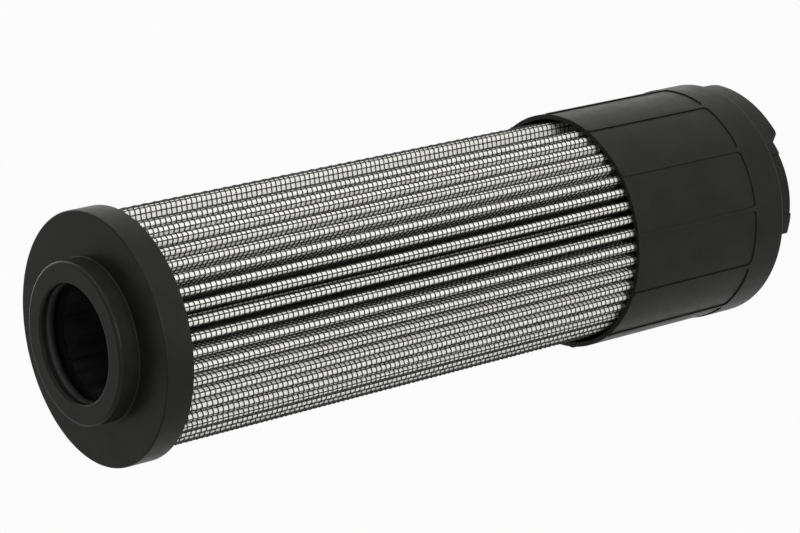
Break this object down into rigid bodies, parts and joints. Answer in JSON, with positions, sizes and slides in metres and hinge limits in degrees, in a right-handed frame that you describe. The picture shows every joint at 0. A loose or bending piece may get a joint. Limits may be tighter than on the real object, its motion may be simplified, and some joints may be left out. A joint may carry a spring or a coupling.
{
  "type": "hydraulic filter element",
  "caption": "Cylindrical pleated hydraulic filter element with a bored neck cap at one end and a ribbed skirt cap with feet at the other.",
  "frame": {"origin": "on the long axis, in the plane that the four feet of the skirt cap stand on", "axes": "+Z along the long axis from the feet to the neck; the middle of one foot stands 4.5 degrees round from +X towards +Y"},
  "size_m": [0.0764, 0.0764, 0.261],
  "materials": {
    "moulded_plastic": "satin",
    "seal_rubber": "matt",
    "bond_resin": "gloss",
    "coated_wire": "satin",
    "white_fleece": "matt",
    "glass_fibre": "matt",
    "steel_mesh": "satin",
    "steel_sheet": "satin"
  },
  "bodies": {
    "root": {"neck_end_cap": "moulded_plastic", "neck_o_ring": "seal_rubber", "neck_end_bond": "bond_resin", "outer_wire_mesh": "coated_wire", "outer_fleece": "white_fleece", "glass_fibre_layer": "glass_fibre", "inner_fleece": "white_fleece", "inner_wire_mesh": "steel_mesh", "seam_clip": "steel_sheet", "perforated_tube": "steel_sheet", "skirt_end_bond": "bond_resin", "skirt_end_cap": "moulded_plastic"}
  },
  "joints": []
}
